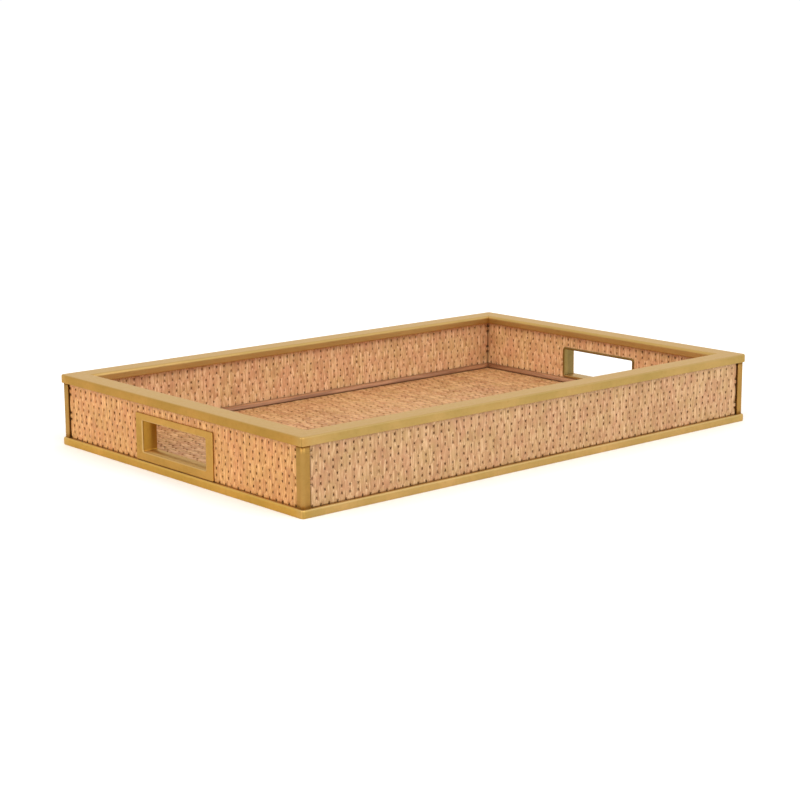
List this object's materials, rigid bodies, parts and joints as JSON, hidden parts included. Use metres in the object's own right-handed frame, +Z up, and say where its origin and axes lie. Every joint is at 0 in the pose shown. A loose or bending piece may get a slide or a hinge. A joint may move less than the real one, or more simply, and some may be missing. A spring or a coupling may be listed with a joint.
{
  "type": "serving tray",
  "caption": "Rectangular serving tray with woven cane faces, a brass cap, brass corner posts and base edging, and a brass-framed hand hole in each short wall.",
  "frame": {"origin": "middle of the underside, on the surface that the tray rests on", "axes": "+X along the long side, +Y along the short side, +Z up; the front wall is at -Y"},
  "size_m": [0.508, 0.334, 0.0615],
  "materials": {
    "brass": "satin, lightly aged",
    "cane": "natural woven cane, matt",
    "cane_bead": "plain cane bead, satin",
    "wall_wood": "raw board",
    "plywood": "raw plywood",
    "felt": "felt",
    "steel": "bright steel"
  },
  "bodies": {
    "root": {"base_board": "plywood", "underside_felt": "felt", "floor_cane": "cane", "front_wall_board": "wall_wood", "back_wall_board": "wall_wood", "left_wall_board": "wall_wood", "right_wall_board": "wall_wood", "front_outer_cane": "cane", "back_outer_cane": "cane", "left_outer_cane": "cane", "right_outer_cane": "cane", "front_inner_cane": "cane", "back_inner_cane": "cane", "left_inner_cane": "cane", "right_inner_cane": "cane", "front_bead": "cane_bead", "back_bead": "cane_bead", "left_bead": "cane_bead", "right_bead": "cane_bead", "front_rim": "brass", "back_rim": "brass", "left_rim": "brass", "right_rim": "brass", "front_rim_core": "wall_wood", "back_rim_core": "wall_wood", "left_rim_core": "wall_wood", "right_rim_core": "wall_wood", "front_base_channel": "brass", "back_base_channel": "brass", "left_base_channel": "brass", "right_base_channel": "brass", "front_left_post": "brass", "front_right_post": "brass", "back_left_post": "brass", "back_right_post": "brass", "left_bezel": "brass", "right_bezel": "brass", "left_hole_liner": "brass", "right_hole_liner": "brass", "corner_brads": "steel", "base_brads": "steel"}
  },
  "joints": []
}
